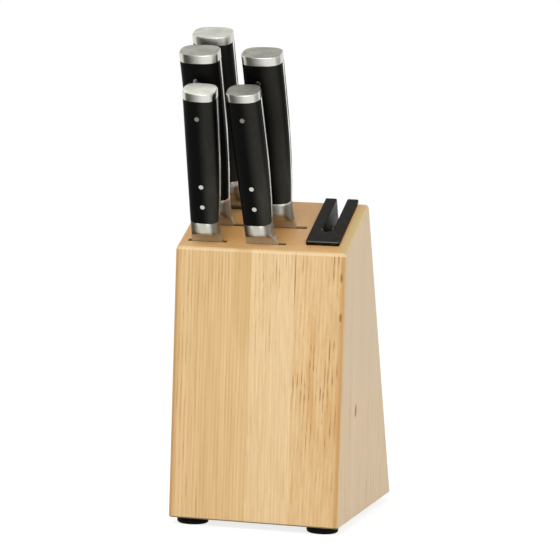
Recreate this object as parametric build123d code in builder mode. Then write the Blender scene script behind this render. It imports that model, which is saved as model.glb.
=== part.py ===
"""A leaning wooden knife block with five riveted knives and a built-in draw-through sharpener."""
from build123d import *
from math import cos, radians, sin, tan
import os

os.makedirs("parts", exist_ok=True)

# Block: millimetres and degrees, with the front towards -Y and +Z up
block_width = 121
front_height = 188
top_length = 74
lean = 26
front_face_y = -61.4
edge_radius = 3
bottom_ease = 0.8
front_joint_x = -6
cheek_joint_x = 24.7

# Slots: three rows parallel to the back face, left by thin strips between the boards
front_row = 10.8
row_pitch = 24
slot_width = 3.4
front_slots = ((-54, -26.2), (-12.5, 15.7))
middle_slots = ((-56.8, -19.5), (-12, cheek_joint_x))
rear_slots = ((-54, -2),)
short_slot_depth = 152
long_slot_depth = 214

# Feet
foot_height = 5
foot_radius = 11
front_foot_x = 46.5
front_foot_inset = 14.5
rear_foot_x = 36
rear_foot_inset = 146

# Sharpener in the right-hand cheek
sharpener_x = 41
plate_width = 23.4
plate_front = 10.8
plate_thickness = 3
plate_corner = 1.5
plate_bevel = 0.6
housing_width = 14
housing_front = 21
housing_depth = 28
draw_slot_width = 7.4
draw_slot_front = 26.2
draw_slot_shallow = 6
draw_slot_back_depth = 21
draw_slot_lip = 1
wheel_from_front = 54.3
wheel_depth = 15.8
wheel_radius = 7.5
notch_radius = 5
notch_half_width = 0.8
wheel_width = 3.2
wheel_pocket_radius = 8.2
axle_radius = 1.5
wheel_bore_radius = 1.55

# Knives: the handle is measured up from the slot mouth and across from the spine
tang_thickness = 2.4
neck_share = 0.86
neck_thinning = 3.4
corner_reach = 8
corner_rise = 6.2
mouth_reach_share = 0.47
mouth_thickness = 2.8
sweep_share = 0.57
blade_start = 2
shank_inset = 1.5
shank_reach = 3
bevel_width = 1.2
bevel_share = 0.3
shoulder_thickness = 0.5
point_half_width = 0.4
point_power = 8
small_handle = {
    "width": 23.15, "thickness": 18.4, "neck": 17.6, "cap": 111, "butt": 116.6, "heel": 22.4,
}
large_handle = {
    "width": 27.8, "thickness": 18.4, "neck": 21.3, "cap": 126.3, "butt": 132.4, "heel": 25.6,
}
knives = {
    "paring_knife": {
        "x": -51.1, "row": 0, "seat": 0, "tilt": 2.7, "handle": small_handle,
        "length": 89, "height": 21, "tip": 6.5, "belly_from": 0.15, "belly_power": 2.4,
        "drop_from": 0.5, "spine": 2, "taper": 0.6, "teeth": 0,
    },
    "utility_knife": {
        "x": -12.1, "row": 0, "seat": -0.8, "tilt": -1.7, "handle": small_handle,
        "length": 140, "height": 22.5, "tip": 7.5, "belly_from": 0.1, "belly_power": 2.6,
        "drop_from": 0.55, "spine": 2.1, "taper": 0.6, "teeth": 20,
    },
    "bread_knife": {
        "x": -53, "row": 1, "seat": 0.6, "tilt": 0, "handle": large_handle,
        "length": 203, "height": 30, "tip": 17, "belly_from": 0.72, "belly_power": 2,
        "drop_from": 0.74, "spine": 2.3, "taper": 0.24, "teeth": 24,
    },
    "carving_knife": {
        "x": -8.3, "row": 1, "seat": 0, "tilt": -0.6, "handle": large_handle,
        "length": 203, "height": 29, "tip": 10, "belly_from": 0.1, "belly_power": 3,
        "drop_from": 0.6, "spine": 2.3, "taper": 0.7, "teeth": 0,
    },
    "chef_knife": {
        "x": -50.2, "row": 2, "seat": 3, "tilt": 0, "handle": large_handle,
        "length": 203, "height": 45, "tip": 14, "belly_from": 0, "belly_power": 2.6,
        "drop_from": 0.45, "spine": 2.4, "taper": 0.7, "teeth": 0,
    },
}
tooth_depth = 1.5
tooth_tip = 0.4
serration_start = 0.05
serration_run = 0.9
handle_stations = (0, 0.2, 0.5, 1)
bolster_flare = ((1, 0), (0.62, -0.1), (0.36, 0.1), (0.15, 0.5), (0, 1))
blade_stations = (0, 0.25, 0.5, 0.7, 0.85, 0.95, 1)

# Planes worked out from the block: along the top face, X across, Y up the slope and Z along the knives
slope_sine = sin(radians(lean))
slope_cosine = cos(radians(lean))
top_front_z = foot_height + front_height
top_plane = Plane(
    origin=(0, front_face_y, top_front_z), x_dir=(1, 0, 0), z_dir=(0, -slope_sine, slope_cosine)
)
top_back_y = front_face_y + top_length * slope_cosine
top_back_z = top_front_z + top_length * slope_sine
bottom_back_y = top_back_y + (top_back_z - foot_height) * tan(radians(lean))
half_width = block_width / 2
past_block = 400
touching = 0.01


def write_node(shape, name):
    """Label one finished piece and write it as its own file."""
    shape.label = name
    export_step(shape, f"parts/{name}.step")


# The glued-up block: its side outline, with every edge but the bottom ones rounded over
with BuildPart() as block_form:
    with BuildSketch(Plane.YZ.offset(-half_width)):
        with BuildLine():
            Polyline(
                (front_face_y, foot_height),
                (front_face_y, top_front_z),
                (top_back_y, top_back_z),
                (bottom_back_y, foot_height),
                close=True,
            )
        make_face()
    extrude(amount=block_width)
    bottom_edges = block_form.edges().group_by(Axis.Z)[0]
    fillet(block_form.edges().filter_by(lambda edge: edge not in bottom_edges), edge_radius)
    chamfer(block_form.faces().sort_by(Axis.Z)[0].edges(), bottom_ease)


def timber(left, right, front, back, upper=past_block, lower=-past_block):
    """The stretch of the block between two X values, two distances up the slope and two depths."""
    with BuildPart() as piece:
        with BuildSketch(top_plane.offset(lower)):
            with Locations(((left + right) / 2, (front + back) / 2)):
                Rectangle(right - left, back - front)
        extrude(amount=upper - lower)
        add(block_form.part, mode=Mode.INTERSECT)
    return piece.part


def spacer_strips(row, slots, depth):
    """Strips of one row: one on each side of every slot, over a sill that closes the slots below."""
    front = front_row + row * row_pitch - slot_width / 2
    back = front + slot_width
    strips = [timber(-half_width, cheek_joint_x, front, back, upper=-depth)]
    left = -half_width
    for slot_left, slot_right in slots:
        strips.append(timber(left, slot_left, front, back, lower=-depth))
        left = slot_right
    if left < cheek_joint_x:
        strips.append(timber(left, cheek_joint_x, front, back, lower=-depth))
    return Compound(children=strips)


row_fronts = [front_row + row * row_pitch - slot_width / 2 for row in range(3)]
row_backs = [front + slot_width for front in row_fronts]
write_node(timber(-half_width, front_joint_x, -past_block, row_fronts[0]), "front_stave_left")
write_node(timber(front_joint_x, cheek_joint_x, -past_block, row_fronts[0]), "front_stave_middle")
write_node(timber(-half_width, cheek_joint_x, row_backs[0], row_fronts[1]), "second_board")
write_node(timber(-half_width, cheek_joint_x, row_backs[1], row_fronts[2]), "third_board")
write_node(timber(-half_width, cheek_joint_x, row_backs[2], past_block), "back_board")
write_node(spacer_strips(0, front_slots, short_slot_depth), "front_spacers")
write_node(spacer_strips(1, middle_slots, long_slot_depth), "middle_spacers")
write_node(spacer_strips(2, rear_slots, long_slot_depth), "rear_spacers")

# Sharpener: planes along its plate and down the middle of its slot
sharpener_plane = Plane(top_plane.location * Location((sharpener_x, 0, 0)))
slot_side_plane = Plane(
    origin=sharpener_plane.origin, x_dir=sharpener_plane.y_dir, z_dir=sharpener_plane.x_dir
)
axle_centre = sharpener_plane.from_local_coords((0, wheel_from_front, -wheel_depth))
axle_plane = Plane(origin=axle_centre, x_dir=(0, 1, 0), z_dir=(1, 0, 0))
wheel_plane = Plane(origin=axle_centre, x_dir=(1, 0, 0), z_dir=(0, -1, 0))
axle_axis = Axis(axle_centre, (1, 0, 0))

# Cheek: the right-hand timber, with a pocket milled in its top and open through its back
with BuildPart() as cheek:
    add(timber(cheek_joint_x, half_width, -past_block, past_block))
    with BuildSketch(sharpener_plane):
        with Locations((0, housing_front)):
            Rectangle(housing_width, past_block, align=(Align.CENTER, Align.MIN))
    extrude(amount=-housing_depth, mode=Mode.SUBTRACT)
write_node(cheek.part, "sharpener_cheek")


def on_slot_mouth(edge):
    """Whether an edge of the plate's upper face runs along the draw slot."""
    place = sharpener_plane.to_local_coords(edge.center())
    level = abs(place.Z - plate_thickness) < touching
    return level and abs(place.X) < draw_slot_width / 2 + touching and place.Y > housing_front


# Housing: a flanged plate over a box, slotted from above and behind, with a floor that runs level
# from the back so that a blade held level clears the front of the plate
with BuildPart() as housing:
    with BuildSketch(sharpener_plane) as flange:
        with Locations((0, plate_front)):
            Rectangle(plate_width, top_length - plate_front, align=(Align.CENTER, Align.MIN))
        fillet(flange.vertices().group_by(Axis.Y)[0], plate_corner)
    extrude(amount=plate_thickness)
    plate_top = housing.faces().sort_by(Axis(sharpener_plane.origin, sharpener_plane.z_dir))[-1]
    chamfer(plate_top.edges(), plate_bevel)
    with BuildSketch(sharpener_plane):
        with Locations((0, housing_front)):
            Rectangle(housing_width, top_length - housing_front, align=(Align.CENTER, Align.MIN))
    extrude(amount=-housing_depth)
    with BuildSketch(sharpener_plane.offset(plate_thickness)):
        with Locations((0, draw_slot_front + draw_slot_width / 2)):
            Circle(draw_slot_width / 2)
            Rectangle(draw_slot_width, past_block, align=(Align.CENTER, Align.MIN))
    extrude(amount=-plate_thickness - draw_slot_shallow, mode=Mode.SUBTRACT)
    level_run = (draw_slot_back_depth - draw_slot_shallow) / tan(radians(lean))
    with BuildSketch(slot_side_plane):
        with BuildLine():
            Polyline(
                (top_length - level_run, -draw_slot_shallow),
                (top_length, -draw_slot_back_depth),
                (top_length, plate_thickness),
                (top_length - level_run, plate_thickness),
                close=True,
            )
        make_face()
    extrude(amount=draw_slot_width / 2, both=True, mode=Mode.SUBTRACT)
    chamfer(housing.edges().filter_by(on_slot_mouth), draw_slot_lip)
    with BuildSketch(axle_plane):
        Circle(wheel_pocket_radius)
    extrude(amount=draw_slot_width / 2, both=True, mode=Mode.SUBTRACT)
    with BuildSketch(axle_plane):
        Circle(axle_radius)
    extrude(amount=housing_width / 2, both=True, mode=Mode.SUBTRACT)
write_node(housing.part, "sharpener_housing")

# Axle: a plain pin, pressed through both walls of the housing
with BuildPart() as axle:
    with BuildSketch(axle_plane):
        Circle(axle_radius)
    extrude(amount=housing_width / 2, both=True)
write_node(axle.part, "wheel_axle")

# Wheels: a pair face to face, each coned on its inner side so that the two make a V notch
with BuildPart() as wheel:
    with BuildSketch(wheel_plane) as wheel_section:
        with BuildLine():
            Polyline(
                (0, wheel_bore_radius),
                (0, notch_radius),
                (notch_half_width, wheel_radius),
                (wheel_width, wheel_radius),
                (wheel_width, wheel_bore_radius),
                close=True,
            )
        make_face()
    revolve(axis=axle_axis)
write_node(
    Compound(children=[wheel.part.solid(), mirror(wheel.part, about=axle_plane).solid()]),
    "sharpening_wheels",
)

# Feet: plain rubber discs, one near each corner
with BuildPart() as feet:
    with BuildSketch():
        with Locations((0, front_face_y + front_foot_inset)):
            with GridLocations(2 * front_foot_x, 0, 2, 1):
                Circle(foot_radius)
        with Locations((0, front_face_y + rear_foot_inset)):
            with GridLocations(2 * rear_foot_x, 0, 2, 1):
                Circle(foot_radius)
    extrude(amount=foot_height)
write_node(Compound(children=feet.solids()), "feet")


def grip_size(handle, share):
    """The handle's width and thickness at a share of the way from its neck to its cap."""
    left = 1 - share
    width = handle["width"] * (1 - (1 - neck_share) * left**3)
    return width, handle["thickness"] - neck_thinning * left**2


def scale_section(width, thickness, reach=corner_reach):
    """The front half of a handle outside its tang: flat sides joined by elliptical corners."""
    level = corner_rise - thickness / 2
    with BuildSketch() as outline:
        with BuildLine():
            spine = EllipticalCenterArc((reach, level), reach, corner_rise, start_angle=180)
            belly = EllipticalCenterArc((width - reach, level), reach, corner_rise, start_angle=270)
            Line(spine @ 1, belly @ 0)
            Polyline(belly @ 1, (width, -tang_thickness / 2), (0, -tang_thickness / 2), spine @ 0)
        make_face()
    return outline.sketch


def oval(width, thickness, reach=corner_reach):
    """A whole section of a handle, across from its spine."""
    with BuildSketch() as outline:
        add(scale_section(width, thickness, reach))
        mirror(about=Plane.XZ)
        with Locations((width / 2, 0)):
            Rectangle(width, tang_thickness)
    return outline.sketch


def blade_section(knife, share):
    """The blade's wedge at a share of its length: sides ground flat and a narrow sharpened bevel."""
    rise = max(0, (share - knife["belly_from"]) / (1 - knife["belly_from"])) ** knife["belly_power"]
    drop = max(0, (share - knife["drop_from"]) / (1 - knife["drop_from"])) ** 2
    point = point_half_width * share**point_power
    edge = knife["height"] + (knife["tip"] - knife["height"]) * rise + point
    spine = knife["tip"] * drop - point
    bevel = edge - min(bevel_width, bevel_share * (edge - spine))
    across = (knife["spine"] - shoulder_thickness) / (knife["height"] - bevel_width)
    half_spine = (knife["spine"] - knife["taper"] * share - across * spine) / 2
    half_bevel = (knife["spine"] - knife["taper"] * share - across * bevel) / 2
    return (spine, half_spine), (bevel, half_bevel), (edge, 0), (bevel, -half_bevel), (spine, -half_spine)


def make_knife(name, knife):
    """One knife: forged blade with its bolster and tang, two scales and a steel end cap."""
    handle = knife["handle"]
    row = front_row + knife["row"] * row_pitch
    stand = Plane(top_plane.location * Location((knife["x"], row, knife["seat"]), (0, knife["tilt"], 0)))
    side = Plane(origin=stand.origin, x_dir=stand.x_dir, z_dir=-stand.y_dir)
    grip_length = handle["cap"] - handle["neck"]

    # Tang: as wide as the scales all the way, with a straight spine and a swelling belly
    with BuildPart() as tang:
        for share in handle_stations:
            width = grip_size(handle, share)[0]
            with BuildSketch(stand.offset(handle["neck"] + grip_length * share)):
                with Locations((width / 2, 0)):
                    Rectangle(width, tang_thickness)
        loft(ruled=True)

    # Bolster: rounded like the neck and flared to the heel, then ground hollow down to the blade
    neck_width, neck_thickness = grip_size(handle, 0)
    with BuildPart() as bolster:
        for share, flare in bolster_flare:
            width = neck_width + (handle["heel"] - neck_width) * flare
            reach = corner_reach + (mouth_reach_share * width - corner_reach) * (1 - share)
            with BuildSketch(stand.offset(handle["neck"] * share)):
                add(oval(width, neck_thickness, reach))
        loft(ruled=True)
        depth = (neck_thickness - mouth_thickness) / 2
        sweep_radius = (depth**2 + (sweep_share * handle["neck"]) ** 2) / (2 * depth)
        sweep_centre = mouth_thickness / 2 + sweep_radius
        with BuildSketch(Plane(origin=stand.origin, x_dir=stand.y_dir, z_dir=stand.x_dir)):
            with Locations((sweep_centre, 0), (-sweep_centre, 0)):
                Circle(sweep_radius)
        extrude(amount=2 * handle["width"], both=True, mode=Mode.SUBTRACT)

    # Blade, joined to the bolster and the tang by a short shank at the slot mouth
    with BuildPart() as blade:
        for share in blade_stations:
            depth = blade_start + (knife["length"] - blade_start) * share
            with BuildSketch(stand.offset(-depth)):
                with BuildLine():
                    Polyline(*blade_section(knife, share), close=True)
                make_face()
        loft(ruled=True)
        if knife["teeth"]:
            rim = []
            for step in range(3 * knife["teeth"] + 1):
                share = serration_start + serration_run * step / (3 * knife["teeth"])
                bite = tooth_depth if step % 3 else tooth_tip
                edge = blade_section(knife, share)[2][0]
                rim.append((edge - bite, -blade_start - (knife["length"] - blade_start) * share))
            outside = 2 * knife["height"]
            with BuildSketch(side):
                with BuildLine():
                    Polyline((outside, rim[0][1]), *rim, (outside, rim[-1][1]), close=True)
                make_face()
            extrude(amount=knife["spine"], both=True, mode=Mode.SUBTRACT)
        with BuildSketch(side):
            with Locations((handle["heel"] / 2, 0)):
                Rectangle(handle["heel"] - 2 * shank_inset, 2 * shank_reach)
        extrude(amount=tang_thickness / 2, both=True)
        add(bolster.part)
        add(tang.part)
    write_node(blade.part, f"{name}_blade")

    # Scales: a moulding on each side of the tang, the rear one a mirror of the front one
    with BuildPart() as scale:
        for share in handle_stations:
            with BuildSketch(stand.offset(handle["neck"] + grip_length * share)):
                add(scale_section(*grip_size(handle, share)))
        loft(ruled=True)
    write_node(scale.part, f"{name}_front_scale")
    write_node(mirror(scale.part, about=side), f"{name}_rear_scale")

    # End cap: a solid steel butt in line with the scales
    with BuildPart() as cap:
        with BuildSketch(stand.offset(handle["cap"])):
            add(oval(*grip_size(handle, 1)))
        extrude(amount=handle["butt"] - handle["cap"])
    write_node(cap.part, f"{name}_end_cap")


for knife_name, knife_sizes in knives.items():
    make_knife(knife_name, knife_sizes)
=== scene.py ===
import bmesh
import bpy
from math import cos, radians, sin
from mathutils import Matrix, Quaternion, Vector


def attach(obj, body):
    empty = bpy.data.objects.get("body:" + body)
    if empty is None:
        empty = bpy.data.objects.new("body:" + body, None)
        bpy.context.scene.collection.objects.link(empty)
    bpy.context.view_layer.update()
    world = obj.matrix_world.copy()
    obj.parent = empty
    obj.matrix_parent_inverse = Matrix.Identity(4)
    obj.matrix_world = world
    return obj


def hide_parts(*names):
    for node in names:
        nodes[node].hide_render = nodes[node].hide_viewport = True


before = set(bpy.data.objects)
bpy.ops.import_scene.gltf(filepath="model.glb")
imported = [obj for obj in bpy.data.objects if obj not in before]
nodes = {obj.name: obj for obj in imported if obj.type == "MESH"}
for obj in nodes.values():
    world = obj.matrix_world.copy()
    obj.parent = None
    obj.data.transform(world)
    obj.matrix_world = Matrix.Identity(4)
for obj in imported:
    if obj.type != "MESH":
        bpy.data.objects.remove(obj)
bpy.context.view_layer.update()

# Front staves: two boards of pale hardwood, sawn with the grain upright and glued edge to edge,
# then sanded and clear coated. The left one is straight grained, the middle one paler and flecked.
lean = radians(26)
half_width = 0.0605
front_face = -0.0614
front_top = 0.193
wood_foot = 0.005
top_level = 0.2002
back_level = 0.0993
ring_unit = 0.314
fleck_brown = (158, 110, 60)
flame_orange = (200, 144, 76)
streak_orange = (204, 152, 86)
painted_corner_shade_orange = (192, 144, 82)
side_beige = (203, 180, 145)
end_grain = (206, 152, 88)
painted_bounce_gold = (244, 176, 96)
right_crest_tan = (184, 170, 118)
painted_highlight_cream = (236, 213, 166)
painted_foot_shade_brown = (84, 74, 38)
painted_slot_shade_brown = (70, 44, 22)


def add_node(tree, kind, sockets=None, **settings):
    """One shader node with its settings, and its sockets linked or set."""
    node = tree.nodes.new(kind)
    for name, value in settings.items():
        setattr(node, name, value)
    for name, value in (sockets or {}).items():
        if isinstance(value, bpy.types.NodeSocket):
            tree.links.new(value, node.inputs[name])
        else:
            node.inputs[name].default_value = value
    return node


def place_from(tree, source, shift=(0, 0, 0), turn=(0, 0, 0), stretch=(1, 1, 1)):
    """Coordinates stretched, then turned, then shifted."""
    return add_node(tree, "ShaderNodeMapping", {
        "Vector": source, "Location": shift, "Rotation": turn, "Scale": stretch,
    }).outputs["Vector"]


def leaned_from(tree, source):
    """Coordinates turned so that Z runs up along the knives."""
    return place_from(tree, source, turn=(-lean, 0, 0))


def split(tree, source):
    """Coordinates as X, Y and Z."""
    return add_node(tree, "ShaderNodeSeparateXYZ", {"Vector": source}).outputs


def noise(tree, source, stretch, shift=(0, 0, 0), detail=3.0, roughness=0.55):
    """Noise over coordinates stretched by a count per metre each way."""
    return add_node(tree, "ShaderNodeTexNoise", {
        "Vector": place_from(tree, source, shift, stretch=stretch), "Scale": 1.0, "Detail": detail,
        "Roughness": roughness,
    }).outputs["Fac"]


def ease(tree, value, low, high, least=0.0, most=1.0):
    """A value eased from one range to another and held at the ends."""
    return add_node(tree, "ShaderNodeMapRange", {
        "Value": value, "From Min": low, "From Max": high, "To Min": least, "To Max": most,
    }, interpolation_type="SMOOTHSTEP").outputs["Result"]


def spread(tree, pattern, least=0.0, most=1.0):
    """The middle of a noise pattern's range, spread from least to most."""
    return ease(tree, pattern, 0.3, 0.7, least, most)


def sum_of(tree, operation, first, second):
    """One sum on two values."""
    return add_node(tree, "ShaderNodeMath", {
        0: first, 1: second,
    }, operation=operation).outputs["Value"]


def product(tree, value, *others):
    """Values multiplied together."""
    for other in others:
        value = sum_of(tree, "MULTIPLY", value, other)
    return value


def mixed(tree, share, first, second):
    """Two colours mixed by a share."""
    node = add_node(tree, "ShaderNodeMix", data_type="RGBA")
    sockets = (node.inputs[0], node.inputs[6], node.inputs[7])
    for socket, value in zip(sockets, (share, first, second)):
        if isinstance(value, bpy.types.NodeSocket):
            tree.links.new(value, socket)
        else:
            socket.default_value = value
    return node.outputs[2]


def seen(red, green, blue):
    """A colour as a screen shows it, in the shader's own values."""
    shares = [value / 255 for value in (red, green, blue)]
    return (*(s / 12.92 if s <= 0.04045 else ((s + 0.055) / 1.055) ** 2.4 for s in shares), 1.0)


def tinted(tree, colour, zone, most, tint):
    """A colour mixed with a tint in a zone, up to a share at the most."""
    return mixed(tree, ease(tree, zone, 0.0, 1.0, 0.0, most), colour, seen(*tint))


def start_finish(name):
    """A new material, with its tree, its shader and the object's coordinates."""
    finish = bpy.data.materials.new(name)
    finish.use_nodes = True
    tree = finish.node_tree
    place = add_node(tree, "ShaderNodeTexCoord").outputs["Object"]
    return finish, tree, tree.nodes["Principled BSDF"], place


def set_shader(tree, shader, sockets):
    """Link or set the shader's sockets."""
    for name, value in sockets.items():
        if isinstance(value, bpy.types.NodeSocket):
            tree.links.new(value, shader.inputs[name])
        else:
            shader.inputs[name].default_value = value


def raised(tree, height, strength, depth=0.0001):
    """A surface raised by a height pattern."""
    return add_node(tree, "ShaderNodeBump", {
        "Height": height, "Strength": strength, "Distance": depth,
    }).outputs["Normal"]


def mark(tree, place, centre, reach):
    """One inside an oval spot round a centre, fading out to its edge."""
    centred = place_from(
        tree, place, shift=[-c / r for c, r in zip(centre, reach)], stretch=[1 / r for r in reach],
    )
    away = add_node(tree, "ShaderNodeVectorMath", {0: centred}, operation="LENGTH").outputs["Value"]
    return ease(tree, away, 1.0, 0.45)


def timber_finish(
    name, pale, deep, slope, pith, spacing, lines, flecks, shift, marks=(), slotted=False,
    flamed=None,
):
    """Clear-coated hardwood: growth lines round a pith, slow bands, fibre, flecks and marks, with
    painted shade, painted highlights and painted bounced light.
    """
    finish, tree, shader, place = start_finish(name)
    grain = place_from(tree, place, turn=(-slope, 0, 0))
    ring_place = place_from(tree, grain, shift=(-pith[0], -pith[1], 0), stretch=(1, 1, 0.03))
    rings = add_node(tree, "ShaderNodeTexWave", {
        "Vector": ring_place, "Scale": ring_unit / spacing, "Distortion": 6.0, "Detail": 3.0,
        "Detail Scale": 0.3, "Detail Roughness": 0.6,
    }, wave_type="RINGS", rings_direction="Z").outputs["Fac"]
    bands = noise(tree, grain, (48, 48, 1.2), shift, detail=2.0)
    stripes = noise(tree, grain, (260, 260, 3), shift)
    fibre = noise(tree, grain, (1000, 1000, 18), shift, detail=5.0, roughness=0.65)
    ring_tone = ease(tree, rings, 0.2, 1.0, 0.0, lines)
    tone = sum_of(tree, "ADD", spread(tree, bands, 0.08, 0.22), ring_tone)
    tone = sum_of(tree, "ADD", tone, spread(tree, stripes, 0.0, 0.16))
    tone = sum_of(tree, "ADD", tone, spread(tree, fibre, -0.1, 0.36))
    colour = mixed(tree, tone, seen(*pale), seen(*deep))

    # Short brown dashes along the growth lines, gathered in patches, with longer orange flames
    # and, in a flamed zone, broad streaks
    dashes = ease(tree, noise(tree, grain, (900, 900, 42), shift), 0.50, 0.66)
    dashes = product(tree, dashes, ease(tree, rings, 0.45, 0.85))
    patches = ease(tree, noise(tree, grain, (42, 42, 9), shift, detail=1.0), 0.42, 0.62)
    if flamed:
        flamed_zone = mark(tree, place, *flamed)
        patches = sum_of(tree, "MAXIMUM", patches, flamed_zone)
        streaks = noise(tree, grain, (150, 150, 4), shift, detail=2.0)
        streaks = ease(tree, streaks, 0.42, 0.62, 0.0, 0.65)
        colour = mixed(tree, product(tree, streaks, flamed_zone), colour, seen(*streak_orange))
    leaned = split(tree, leaned_from(tree, place))
    off_back = ease(tree, leaned["Y"], back_level, back_level - 0.0023, 0.25, 1.0)
    patches = product(tree, patches, off_back)
    colour = mixed(tree, product(tree, dashes, patches, flecks), colour, seen(*fleck_brown))
    flames = ease(tree, noise(tree, grain, (300, 300, 9), shift), 0.55, 0.72)
    colour = mixed(tree, product(tree, flames, patches, 0.5 * flecks), colour, seen(*flame_orange))

    # Painted shade in orange down the rounded front corners, a greyer beige over the right side,
    # end grain on top with painted warm light bounced between the handles, a darker greenish tan
    # along the right of the top, a painted cream highlight along the front top edge, and a dark
    # line of painted shade along the foot
    sides = split(tree, place)
    out = sum_of(tree, "ABSOLUTE", sides["X"], 0.0)
    right = ease(tree, sides["X"], half_width - 0.0013, half_width - 0.0001)
    near_front = ease(tree, sides["Y"], front_face + 0.0039, front_face + 0.0016)
    near_side = ease(tree, out, half_width - 0.005, half_width - 0.0013)
    not_right = ease(tree, right, 0.0, 1.0, 0.92, 0.0)
    # Painted shade in orange down the rounded front corners
    painted_corner_shade = product(tree, near_side, near_front, not_right)
    colour = mixed(tree, painted_corner_shade, colour, seen(*painted_corner_shade_orange))
    # A greyer beige over the right side face, more of it higher up
    greyer_side = product(tree, right, ease(tree, sides["Z"], 0.07, 0.13, 0.6, 0.8))
    colour = mixed(tree, greyer_side, colour, seen(*side_beige))
    top = ease(tree, leaned["Z"], top_level - 0.0012, top_level)
    colour = tinted(tree, colour, top, 0.62, end_grain)
    # Painted warm light bounced between the handles, on the top
    painted_bounce_light = product(tree, mark(tree, place, (-0.02, -0.0344, 0.206), (0.045, 0.03, 0.03)), top)
    colour = tinted(tree, colour, painted_bounce_light, 0.5, painted_bounce_gold)
    near_right = ease(tree, sides["X"], half_width - 0.0075, half_width - 0.0035)
    right_crest = product(tree, near_right, top)
    colour = tinted(tree, colour, right_crest, 0.7, right_crest_tan)
    # Painted cream highlight along the rounded front top edge
    under_top = ease(tree, sides["Z"], front_top - 0.0022, front_top - 0.0012)
    at_front = ease(tree, sides["Y"], front_face + 0.0024, front_face + 0.0012)
    painted_edge_highlight = product(tree, under_top, at_front)
    colour = tinted(tree, colour, painted_edge_highlight, 0.5, painted_highlight_cream)
    # Painted shade in a dark line along the foot
    near_foot = ease(tree, sides["Z"], wood_foot + 0.0014, wood_foot + 0.0004)
    painted_foot_shade = product(tree, near_foot, near_front)
    colour = tinted(tree, colour, painted_foot_shade, 0.85, painted_foot_shade_brown)
    # Painted shade inside the knife slots
    if slotted:
        below = ease(tree, leaned["Z"], top_level - 0.0004, top_level - 0.0012)
        within = ease(tree, out, half_width - 0.0013, half_width - 0.0025)
        before_back = ease(tree, leaned["Y"], back_level, back_level - 0.0008)
        inside = product(tree, below, within, before_back)
        colour = tinted(tree, colour, inside, 0.8, painted_slot_shade_brown)
    for centre, reach, strength, stain in marks:
        spot = product(tree, mark(tree, place, centre, reach), strength)
        colour = mixed(tree, spot, colour, seen(*stain))

    height = sum_of(tree, "ADD", ring_tone, fibre)
    set_shader(tree, shader, {
        "Base Color": colour,
        "Roughness": spread(tree, fibre, 0.42, 0.56),
        "Normal": raised(tree, height, 0.1, 0.0002),
        "Coat Weight": 0.15,
        "Coat Roughness": 0.3,
        "IOR": 1.45,
    })
    return finish


def paint(node, finish):
    """Give a CAD node one finish."""
    node.data.materials.clear()
    node.data.materials.append(finish)


left_shade = ((-0.011, front_face, 0.165), (0.009, 0.02, 0.06), 0.5, (203, 163, 104))
paint(nodes["front_stave_left"], timber_finish(
    "straight_grained_stave", pale=(230, 198, 146), deep=(200, 160, 102), slope=0.0,
    pith=(-0.3, 0.05), spacing=0.0023, lines=0.24, flecks=0.45, shift=(3, 7, 1),
    marks=(left_shade,),
))
paint(nodes["front_stave_middle"], timber_finish(
    "pale_flecked_stave", pale=(236, 207, 160), deep=(208, 170, 114), slope=radians(2),
    pith=(-0.22, -0.2), spacing=0.0020, lines=0.15, flecks=0.6, shift=(11, 2, 5),
))

# Boards and strips behind the staves: the same timber leaning with the knives, glued in a stack.
# Thin strips between the boards leave the slots open.
board_finish = timber_finish(
    "board_timber", pale=(228, 196, 146), deep=(200, 160, 104), slope=lean,
    pith=(0.02, -0.25), spacing=0.0021, lines=0.2, flecks=0.45, shift=(5, 9, 3), slotted=True,
)
for board in ("second_board", "third_board", "back_board"):
    paint(nodes[board], board_finish)
strip_finish = timber_finish(
    "strip_timber", pale=(224, 190, 138), deep=(194, 152, 96), slope=lean,
    pith=(-0.2, 0.1), spacing=0.0017, lines=0.2, flecks=0.5, shift=(8, 1, 6), slotted=True,
)
for strips in ("front_spacers", "middle_spacers", "rear_spacers"):
    paint(nodes[strips], strip_finish)

# Sharpener cheek: one thick timber at the right, glued on last. Its front shows brown dashes and
# flames, its front edge two small bruises and its side a small knot.
knot_place = (half_width, -0.0166, 0.0813)
cheek_marks = (
    (knot_place, (0.004, 0.0042, 0.0072), 0.55, (176, 144, 102)),
    (knot_place, (0.004, 0.0033, 0.0054), 0.9, (84, 58, 32)),
    ((0.0575, front_face, 0.177), (0.0011, 0.004, 0.0042), 0.8, (132, 84, 38)),
    ((0.0577, front_face, 0.15), (0.0012, 0.004, 0.0040), 0.8, (134, 88, 42)),
    ((0.0252, front_face, 0.176), (0.0006, 0.004, 0.024), 0.75, (150, 100, 52)),
)
paint(nodes["sharpener_cheek"], timber_finish(
    "flamed_cheek", pale=(232, 200, 149), deep=(200, 158, 100), slope=radians(3),
    pith=(-0.11, 0.0), spacing=0.0026, lines=0.18, flecks=1.0, shift=(2, 4, 9),
    marks=cheek_marks, flamed=((0.043, front_face, 0.1), (0.026, 0.03, 0.062)),
))

# Feet: four moulded rubber discs with a rounded rim and a hollow sole below. A steel screw with a
# single groove, sunk in the hollow, holds each one to the wood.
foot_height = 0.005
foot_radius = 0.011
foot_rim = 0.0019
sole_margin = 0.0042
sole_depth = 0.0028
foot_places = {
    "front_left_foot": (-0.0465, -0.0469), "front_right_foot": (0.0465, -0.0469),
    "rear_left_foot": (-0.036, 0.0846), "rear_right_foot": (0.036, 0.0846),
}
screw_middle = 0.0021
screw_height = 0.0016
groove_half_width = 0.00045
groove_depth = 0.0009


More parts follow.
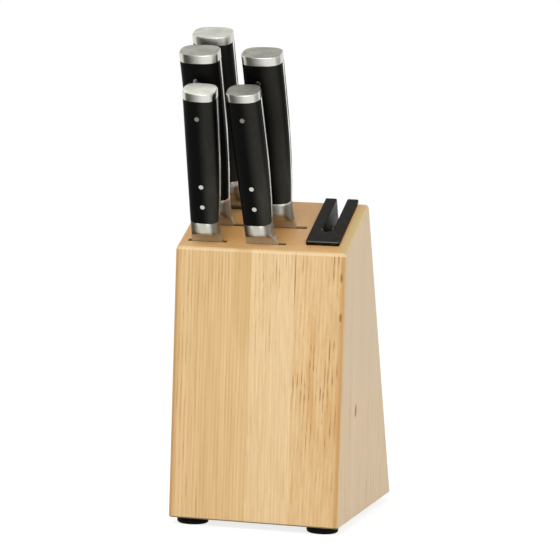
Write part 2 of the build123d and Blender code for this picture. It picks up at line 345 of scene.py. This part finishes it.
def keep_piece(form, name, body, finish, crease=radians(32), stands_for=()):
    """Turn a bmesh into a smooth-shaded piece that rides a body."""
    bmesh.ops.recalc_face_normals(form, faces=form.faces)
    mesh = bpy.data.meshes.new(name)
    form.to_mesh(mesh)
    form.free()
    mesh.shade_smooth()
    mesh.set_sharp_from_angle(angle=crease)
    mesh.materials.append(finish)
    piece = bpy.data.objects.new(name, mesh)
    bpy.context.collection.objects.link(piece)
    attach(piece, body)
    if stands_for:
        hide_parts(*stands_for)
    return piece


def rounded_over(form, edges, radius, segments):
    """Round edges of a form."""
    bmesh.ops.bevel(
        form, geom=edges, offset=radius, offset_type="OFFSET", affect="EDGES", segments=segments,
        profile=0.5, material=-1, clamp_overlap=False,
    )


def level_edges(form, height):
    """The edges of a form that lie at one height."""
    return [e for e in form.edges if all(abs(v.co.z - height) < 1e-6 for v in e.verts)]


def whole(form):
    """All the vertices, edges and faces of a form."""
    return form.verts[:] + form.edges[:] + form.faces[:]


def steel_finish(name, dark, light, strokes, rough, rise):
    """Bare steel with fine marks from its making, as a count per metre each way."""
    finish, tree, shader, place = start_finish(name)
    marks = noise(tree, place, strokes)
    set_shader(tree, shader, {
        "Base Color": mixed(tree, marks, seen(*dark), seen(*light)),
        "Metallic": 1.0,
        "Roughness": spread(tree, marks, *rough),
        "Normal": raised(tree, marks, rise),
    })
    return finish


rubber, tree, shader, place = start_finish("foot_rubber")
dust = noise(tree, place, (420, 420, 420), detail=4.0)
set_shader(tree, shader, {
    "Base Color": mixed(tree, ease(tree, dust, 0.35, 0.75), seen(10, 9, 8), seen(22, 20, 18)),
    "Roughness": spread(tree, dust, 0.55, 0.75),
    "Specular IOR Level": 0.05,
    "Normal": raised(tree, noise(tree, place, (2500, 2500, 2500)), 0.2, 0.0002),
})
screw_steel = steel_finish(
    "screw_steel", (150, 148, 142), (186, 184, 178), (900, 900, 900), (0.28, 0.42), 0.1,
)
for foot_name, (x, y) in foot_places.items():
    foot = bmesh.new()
    bmesh.ops.create_cone(
        foot, cap_ends=True, segments=56, radius1=foot_radius, radius2=foot_radius,
        depth=foot_height, matrix=Matrix.Translation((x, y, foot_height / 2)),
    )
    rounded_over(foot, level_edges(foot, 0), foot_rim, 6)
    sole = min(foot.faces, key=lambda face: face.calc_center_median().z)
    bmesh.ops.inset_region(foot, faces=[sole], thickness=sole_margin)
    pushed = bmesh.ops.extrude_discrete_faces(foot, faces=[sole])["faces"]
    bmesh.ops.translate(foot, vec=(0, 0, sole_depth), verts=pushed[0].verts)
    keep_piece(foot, foot_name, "block", rubber, stands_for=("feet",))

    screw = bmesh.new()
    bmesh.ops.create_cone(
        screw, cap_ends=True, segments=40, radius1=0.0026, radius2=0.0038, depth=screw_height,
        matrix=Matrix.Translation((x, y, screw_middle)),
    )
    rounded_over(screw, level_edges(screw, screw_middle - screw_height / 2), 0.0005, 4)
    for side in (-groove_half_width, groove_half_width):
        bmesh.ops.bisect_plane(
            screw, geom=whole(screw), plane_co=(x + side, y, 0), plane_no=(1, 0, 0),
        )
    groove = [
        f for f in screw.faces
        if f.normal.z < -0.9 and abs(f.calc_center_median().x - x) < groove_half_width - 0.00005
    ]
    sunk = bmesh.ops.extrude_discrete_faces(screw, faces=groove)["faces"]
    bmesh.ops.translate(screw, vec=(0, 0, groove_depth), verts=sunk[0].verts)
    keep_piece(screw, foot_name + "_screw", "block", screw_steel)

# Sharpener housing: a satin black moulding let into the cheek, its plate lying on the top face.
# The front bevel and the lip of the slot carry painted highlights, and the far end of its walls
# painted light, all in a paler grey.
slot_middle = 0.041
slot_reach = 0.0047
front_bevel_end = -0.0485
slot_lip_end = -0.034


def merged_copy(node):
    """A bmesh of a CAD node with its loose triangles joined and its flat faces made whole."""
    form = bmesh.new()
    form.from_mesh(node.data)
    bmesh.ops.remove_doubles(form, verts=form.verts, dist=2e-6)
    bmesh.ops.dissolve_limit(form, angle_limit=radians(0.5), verts=form.verts, edges=form.edges)
    return form


moulding, tree, shader, place = start_finish("satin_black_moulding")
cloud = noise(tree, place, (240, 240, 240), detail=4.0)
pebble = noise(tree, place, (3800, 3800, 3800), detail=2.0)
set_shader(tree, shader, {
    "Base Color": mixed(tree, spread(tree, cloud), seen(3, 3, 2), seen(34, 30, 18)),
    "Roughness": spread(tree, cloud, 0.36, 0.48),
    "Specular IOR Level": 0.065,
    "Normal": raised(tree, pebble, 0.12),
})
moulding_with_painted_light, tree, shader, place = start_finish("moulding_painted_highlights")
scuff_and_glint = noise(tree, place, (900, 260, 260), detail=4.0, roughness=0.65)
depth = split(tree, place)["Y"]
# Painted light on the far end of the slot walls, painted highlights on the front bevel and slot lip
far_end = ease(tree, depth, -0.03, -0.006)
near_end = ease(tree, depth, -0.033, -0.036)
painted_highlight = product(tree, sum_of(tree, "MAXIMUM", far_end, near_end), spread(tree, scuff_and_glint, 0.6, 1.0))
set_shader(tree, shader, {
    "Base Color": mixed(tree, painted_highlight, seen(14, 13, 10), seen(98, 97, 90)),
    "Roughness": spread(tree, scuff_and_glint, 0.34, 0.5),
    "Specular IOR Level": 0.1,
    "Normal": raised(tree, scuff_and_glint, 0.1),
})
housing = merged_copy(nodes["sharpener_housing"])
upward = Vector((0, -sin(lean), cos(lean)))
for face in housing.faces:
    centre = face.calc_center_median()
    in_slot = abs(centre.x - slot_middle) < slot_reach
    slot_wall = in_slot and abs(face.normal.x) > 0.9
    bevelled = 0.4 < face.normal.dot(upward) < 0.9
    front_bevel = bevelled and centre.y < front_bevel_end
    slot_lip = bevelled and in_slot and centre.y < slot_lip_end
    if slot_wall or front_bevel or slot_lip:
        face.material_index = 1
plate = keep_piece(
    housing, "housing_moulding", "block", moulding, radians(20),
    ("sharpener_housing",),
)
plate.data.materials.append(moulding_with_painted_light)

# Wheel axle and wheels: a ground steel pin pressed through the housing, and two ceramic wheels
# that turn on it, coned so that they meet in a V notch, coloured dark grey as painted shade.
paint(nodes["wheel_axle"], steel_finish(
    "ground_pin_steel", (168, 168, 166), (196, 196, 193), (160, 4200, 4200), (0.2, 0.32), 0.08,
))
# The wheels' dark grey is painted shade for the shade inside the slot
ceramic, tree, shader, place = start_finish("gritty_ceramic_painted_shade")
grit = noise(tree, place, (5200, 5200, 5200), detail=4.0, roughness=0.7)
wear = noise(tree, place, (500, 500, 500))
set_shader(tree, shader, {
    "Base Color": mixed(tree, ease(tree, wear, 0.45, 0.75), seen(92, 90, 85), seen(66, 64, 60)),
    "Roughness": spread(tree, grit, 0.55, 0.8),
    "Normal": raised(tree, grit, 0.4),
})
paint(nodes["sharpening_wheels"], ceramic)

# Blades: forged stainless steel, each in one with its bolster and full tang. The bolster is ground
# hollow down to the blade, which is finished with fine strokes across. The tang is buffed bright.
first_row = 0.0108
row_spacing = 0.024
bolster_starts = (0.2055, 0.2080)
tang_starts = (0.2195, 0.2225)
knives = {
    "paring_knife": {"spine": -0.0511, "row": 0, "seat": 0.0, "tilt": 2.7, "size": "small"},
    "utility_knife": {"spine": -0.0121, "row": 0, "seat": -0.0008, "tilt": -1.7, "size": "small"},
    "bread_knife": {"spine": -0.053, "row": 1, "seat": 0.0006, "tilt": 0.0, "size": "large"},
    "carving_knife": {"spine": -0.0083, "row": 1, "seat": 0.0, "tilt": -0.6, "size": "large"},
    "chef_knife": {"spine": -0.0502, "row": 2, "seat": 0.003, "tilt": 0.0, "size": "large"},
}
handles = {
    "small": {"width": 0.02315, "neck": 0.0176, "cap": 0.111, "butt": 0.1166},
    "large": {"width": 0.0278, "neck": 0.0213, "cap": 0.1263, "butt": 0.1324},
}


def knife_stand(knife):
    """A knife's own place: X across from its spine, Y through it and Z up from the slot mouth."""
    top_face = Matrix.Translation((0, front_face, front_top)) @ Matrix.Rotation(lean, 4, "X")
    slot_mouth = (knife["spine"], first_row + row_spacing * knife["row"], knife["seat"])
    tilt = Matrix.Rotation(radians(knife["tilt"]), 4, "Y")
    return top_face @ Matrix.Translation(slot_mouth) @ tilt


def across_from(tree):
    """How far across its knife's handle a point lies: 0 at the spine, 1 at the belly."""
    return add_node(tree, "ShaderNodeAttribute", attribute_name="across").outputs["Fac"]


blade_steel, tree, shader, place = start_finish("satin_blade_steel")
length = leaned_from(tree, place)
strokes = noise(tree, length, (110, 900, 5200), roughness=0.65)
smear = noise(tree, length, (60, 60, 60), detail=2.0)
along = split(tree, length)["Z"]
across = across_from(tree)
ground = mixed(tree, strokes, seen(181, 178, 168), seen(205, 202, 192))
# Painted dark reflection in brown on the bolster flanks, by the spine and in the hollow
hollow = product(tree, ease(tree, across, 0.62, 0.73), ease(tree, across, 0.84, 0.75, 0.4, 0.7))
spine_dark_reflection = product(tree, ease(tree, across, 0.38, 0.12), ease(tree, across, 0.0, 0.06, 0.2, 0.95))
flank_dark_reflection = sum_of(tree, "MAXIMUM", spine_dark_reflection, hollow)
flank_dark_reflection = product(tree, flank_dark_reflection, ease(tree, along, *bolster_starts))
ground = mixed(tree, flank_dark_reflection, ground, seen(62, 53, 41))
buffed = ease(tree, along, *tang_starts)
stroke_rough = spread(tree, strokes, 0.4, 0.5)
set_shader(tree, shader, {
    "Base Color": mixed(tree, buffed, ground, seen(244, 242, 234)),
    "Metallic": 1.0,
    "Roughness": sum_of(tree, "ADD", stroke_rough, spread(tree, smear, 0.0, 0.08)),
    "Normal": raised(tree, strokes, 0.06),
})
for name, knife in knives.items():
    node = name + "_blade"
    blade = merged_copy(nodes[node])
    home = knife_stand(knife).inverted()
    across = blade.verts.layers.float.new("across")
    for v in blade.verts:
        v[across] = (home @ v.co).x / handles[knife["size"]]["width"]
    keep_piece(blade, name + "_forged_blade", name, blade_steel, stands_for=(node,))

# Scales: two halves of satin black moulded plastic on each tang, with a straight back, a swelling
# belly and well rounded sides. Between middle and belly the skin carries a painted grey sheen,
# strongest towards the neck, and hardly any on the bread knife, whose handle lies in shade.
half_tang = 0.0012
squareness = 2.9
scale_steps = 24
butt_thickness = 0.0184
neck_thinning = 0.0034
neck_narrowing = 0.14
sheen_reach = (0.3, 0.235)


def grip_size(handle, share):
    """The handle's width and thickness at a share of the way from its neck to its cap."""
    left = 1 - share
    width = handle["width"] * (1 - neck_narrowing * left**3)
    return width, butt_thickness - neck_thinning * left**2


def bar(sections):
    """A bar drawn up through squarish ovals, each given by its height, width and thickness."""
    form = bmesh.new()
    bmesh.ops.create_circle(form, cap_ends=True, segments=96, radius=1)
    for v in form.verts:
        v.co *= sum(abs(value) ** squareness for value in v.co.xy) ** (-1 / squareness)
    bmesh.ops.translate(form, vec=(1, 0, 0), verts=form.verts)
    end = form.faces[:]
    last_width, last_thickness = 2, 2
    for step, (height, width, thickness) in enumerate(sections):
        if step:
            end = bmesh.ops.extrude_discrete_faces(form, faces=end)["faces"]
        for v in end[0].verts:
            v.co = (v.co.x * width / last_width, v.co.y * thickness / last_thickness, height)
        last_width, last_thickness = width, thickness
    bmesh.ops.holes_fill(form, edges=form.edges)
    bmesh.ops.recalc_face_normals(form, faces=form.faces)
    across = form.verts.layers.float.new("across")
    for v in form.verts:
        v[across] = v.co.x / last_width
    return form


def scale_finish(name, grey):
    """Satin black plastic with a painted grey sheen from the middle to the belly."""
    finish, tree, shader, place = start_finish(name)
    length = leaned_from(tree, place)
    hand = noise(tree, length, (90, 90, 30))
    skin = noise(tree, length, (2600, 2600, 1800))
    across = across_from(tree)
    along = split(tree, length)["Z"]
    painted_sheen = product(
        tree, ease(tree, across, 0.42, 0.74), ease(tree, across, 0.98, 0.86),
        ease(tree, along, *sheen_reach, 0.6, 1.0), spread(tree, hand, 0.7, 1.0),
    )
    set_shader(tree, shader, {
        "Base Color": mixed(tree, painted_sheen, seen(5, 5, 4), seen(grey, grey - 1, grey - 6)),
        "Roughness": spread(tree, hand, 0.3, 0.42),
        "Specular IOR Level": 0.045,
        "Normal": raised(tree, skin, 0.1),
    })
    return finish


black_with_painted_sheen = scale_finish("black_scale_painted_sheen", 58)
black_in_shade = scale_finish("black_scale_faint_painted_sheen", 20)
for name, knife in knives.items():
    # The bread knife's handle lies in shade, so its painted sheen is faint
    black = black_in_shade if name == "bread_knife" else black_with_painted_sheen
    handle = handles[knife["size"]]
    rise = handle["cap"] - handle["neck"]
    for half, side in (("front", -1), ("rear", 1)):
        scale = bar([
            (handle["neck"] + rise * step / scale_steps, *grip_size(handle, step / scale_steps))
            for step in range(scale_steps + 1)
        ])
        cut = bmesh.ops.bisect_plane(
            scale, geom=whole(scale), plane_co=(0, side * half_tang, 0), plane_no=(0, side, 0),
            clear_inner=True,
        )
        rim = [e for e in cut["geom_cut"] if isinstance(e, bmesh.types.BMEdge)]
        bmesh.ops.edgeloop_fill(scale, edges=rim)
        bmesh.ops.transform(scale, matrix=knife_stand(knife), verts=scale.verts)
        node = f"{name}_{half}_scale"
        moulded = f"{name}_{half}_moulding"
        keep_piece(scale, moulded, name, black, stands_for=(node,))

# Rivets: three steel pins through each handle, headed over and ground nearly flush on both sides.
# The pin by the cap is given darker steel as a painted dark reflection.
rivet_places = {
    "small": (0.0108, (0.0306, 0.0463, 0.098)),
    "large": (0.0115, (0.0356, 0.0515, 0.1132)),
}
rivet_radius = 0.0017
rivet_edge = 0.0003
rivet_stand = 0.00012
pin_strokes = (1400, 1400, 1400)
pin_rough = (0.24, 0.36)
rivet_steel = steel_finish(
    "rivet_steel", (180, 179, 172), (210, 209, 203), pin_strokes, pin_rough, 0.08,
)
rivet_steel_dark_reflection = steel_finish(
    "rivet_steel_painted_dark_reflection", (106, 106, 103), (136, 136, 132), pin_strokes, pin_rough, 0.08,
)
for name, knife in knives.items():
    handle = handles[knife["size"]]
    from_spine, heights = rivet_places[knife["size"]]
    for number, height in enumerate(heights, 1):
        share = (height - handle["neck"]) / (handle["cap"] - handle["neck"])
        reach = grip_size(handle, share)[1] + 2 * rivet_stand
        rivet = bmesh.new()
        bmesh.ops.create_cone(
            rivet, cap_ends=True, segments=36, radius1=rivet_radius, radius2=rivet_radius,
            depth=reach,
        )
        for end in (-reach / 2, reach / 2):
            rounded_over(rivet, level_edges(rivet, end), rivet_edge, 3)
        through = Matrix.Translation((from_spine, 0, height)) @ Matrix.Rotation(radians(90), 4, "X")
        bmesh.ops.transform(rivet, matrix=knife_stand(knife) @ through, verts=rivet.verts)
        # The third rivet's darker steel is a painted dark reflection
        finish = rivet_steel_dark_reflection if number == 3 else rivet_steel
        keep_piece(rivet, f"{name}_rivet_{number}", name, finish)

# End caps: solid steel butts in line with the scales, polished round the side and brushed across
# the crown, with an eased edge between the two. Each band has its own roughness and a painted dark
# reflection, and each crown a painted tone for how brightly it is lit.
cap_edge = 0.0006
crown_margin = 0.003
crown_rise = 0.00015
rim_drop = 0.0002
# Per cap: painted dark reflection tone and roughness of the band, painted lit tone of the crown
cap_tones = {
    "paring_knife": {"dark_reflection": 80, "rough": 0.18, "crown": 234},
    "utility_knife": {"dark_reflection": 80, "rough": 0.18, "crown": 151},
    "bread_knife": {"dark_reflection": 70, "rough": 0.26, "crown": 163},
    "carving_knife": {"dark_reflection": 80, "rough": 0.18, "crown": 156},
    "chef_knife": {"dark_reflection": 118, "rough": 0.36, "crown": 195},
}


def band_finish(name, dark_reflection_tone, least_rough):
    """Polished steel with a painted dark reflection towards the spine and by the belly."""
    finish, tree, shader, place = start_finish(name)
    strokes = noise(tree, leaned_from(tree, place), (900, 900, 5200), roughness=0.6)
    across = across_from(tree)
    spine_dark_reflection = product(tree, ease(tree, across, 0.1, 0.2), ease(tree, across, 0.74, 0.22))
    belly_dark_reflection = product(
        tree, ease(tree, across, 0.85, 0.94), ease(tree, across, 0.995, 0.965, 0.0, 0.6),
    )
    dark_reflection = sum_of(tree, "ADD", spine_dark_reflection, belly_dark_reflection)
    dark_reflection = sum_of(tree, "ADD", dark_reflection, spread(tree, strokes, -0.1, 0.1))
    dark_reflection_steel = seen(dark_reflection_tone, dark_reflection_tone - 3, dark_reflection_tone - 10)
    set_shader(tree, shader, {
        "Base Color": mixed(tree, dark_reflection, seen(214, 213, 206), dark_reflection_steel),
        "Metallic": 1.0,
        "Roughness": spread(tree, strokes, least_rough, least_rough + 0.1),
        "Normal": raised(tree, strokes, 0.05),
    })
    return finish


def crown_finish(name, tone):
    """Steel brushed across by hand, with a painted tone for each crown that stands for how brightly
    it is lit.
    """
    finish, tree, shader, place = start_finish(name)
    length = leaned_from(tree, place)
    strokes = noise(tree, length, (120, 4600, 900), roughness=0.65)
    smear = noise(tree, length, (110, 150, 90), detail=2.0)
    wiped = product(tree, strokes, spread(tree, smear, 0.5, 1.5))
    dark_steel = seen(tone - 18, tone - 19, tone - 29)
    light_steel = seen(tone + 18, tone + 17, tone + 8)
    set_shader(tree, shader, {
        "Base Color": mixed(tree, wiped, dark_steel, light_steel),
        "Metallic": 1.0,
        "Roughness": spread(tree, strokes, 0.52, 0.64),
        "Normal": raised(tree, strokes, 0.1),
    })
    return finish


for name, knife in knives.items():
    handle = handles[knife["size"]]
    section = grip_size(handle, 1)
    rim = handle["butt"] - rim_drop
    cap = bar([(handle["cap"], *section), (rim, *section)])
    rounded_over(cap, level_edges(cap, rim), cap_edge, 4)
    crown = max(cap.faces, key=lambda face: face.calc_center_median().z)
    margin = bmesh.ops.inset_region(cap, faces=[crown], thickness=crown_margin, depth=crown_rise)
    for face in (crown, *margin["faces"]):
        face.material_index = 1
    bmesh.ops.transform(cap, matrix=knife_stand(knife), verts=cap.verts)
    node = name + "_end_cap"
    # Each crown's tone is painted light, set to how brightly that crown is lit
    tones = cap_tones[name]
    band = band_finish(name + "_polished_band", tones["dark_reflection"], tones["rough"])
    butt = keep_piece(cap, name + "_steel_butt", name, band, stands_for=(node,))
    butt.data.materials.append(crown_finish(name + "_brushed_crown", tones["crown"]))

# Studio: a white floor that keeps a soft shadow and an even white surround, with one broad lamp
# in front of the block and one at its right.
floor_reach = 6
floor_shown = 0.8
surround_light = 0.65
lamp_aim = (0, 0, 0.17)


def shown_rays(tree):
    """One for rays that show the surround itself: seen, mirrored or seen through."""
    path = add_node(tree, "ShaderNodeLightPath").outputs
    shown = sum_of(tree, "MAXIMUM", path["Is Camera Ray"], path["Is Glossy Ray"])
    return sum_of(tree, "MAXIMUM", shown, path["Is Transmission Ray"])


floor_form = bmesh.new()
bmesh.ops.create_grid(floor_form, x_segments=1, y_segments=1, size=floor_reach)
floor_mesh = bpy.data.meshes.new("studio_floor")
floor_form.to_mesh(floor_mesh)
floor_form.free()
floor = bpy.data.objects.new("studio_floor", floor_mesh)
bpy.context.collection.objects.link(floor)
floor_paint, tree, shader, place = start_finish("white_floor")
shown = shown_rays(tree)
set_shader(tree, shader, {
    "Base Color": mixed(tree, shown, (0.8, 0.8, 0.8, 1), (0.32, 0.32, 0.32, 1)),
    "Roughness": 0.9,
    "Specular IOR Level": 0.0,
    "Emission Color": (1, 1, 1, 1),
    "Emission Strength": ease(tree, shown, 0.0, 1.0, 0.0, floor_shown),
})
floor_mesh.materials.append(floor_paint)

scene = bpy.context.scene
world = bpy.data.worlds.new("studio_surround")
scene.world = world
world.use_nodes = True
tree = world.node_tree
background = tree.nodes["Background"]
surround = ease(tree, shown_rays(tree), 0.0, 1.0, surround_light, 1.0)
tree.links.new(surround, background.inputs["Strength"])
background.inputs["Color"].default_value = (1, 1, 1, 1)


def lamp(name, place, size, power):
    """A broad square lamp turned towards the middle of the block."""
    light = bpy.data.lights.new(name, "AREA")
    light.size = size
    light.energy = power
    holder = bpy.data.objects.new(name, light)
    holder.location = place
    holder.rotation_euler = (Vector(lamp_aim) - Vector(place)).to_track_quat("-Z", "Y").to_euler()
    bpy.context.collection.objects.link(holder)


lamp("front_lamp", place=(-0.3, -1.5, 1.6), size=1.2, power=19)
lamp("right_lamp", place=(2.0, -0.6, 0.7), size=1.0, power=10)

# Camera: a long lens a little above the block and to its right, where the photograph was taken
# from, worked out from the block's edges.
azimuth = radians(14.339)
elevation = radians(4.388)
roll = radians(1.784)
aim = Vector((-0.00753, 0.02504, 0.16681))
distance = 1.76826
back = Vector((
    sin(azimuth) * cos(elevation), -cos(azimuth) * cos(elevation), sin(elevation),
))
lens = bpy.data.cameras.new("photo_camera")
lens.lens = 158.39
lens.sensor_width = 36
lens.dof.use_dof = False
camera = bpy.data.objects.new("photo_camera", lens)
camera.location = aim + back * distance
camera.rotation_mode = "QUATERNION"
camera.rotation_quaternion = (-back).to_track_quat("-Z", "Y") @ Quaternion((0, 0, 1), roll)
bpy.context.collection.objects.link(camera)
scene.camera = camera
scene.view_settings.view_transform = "Standard"
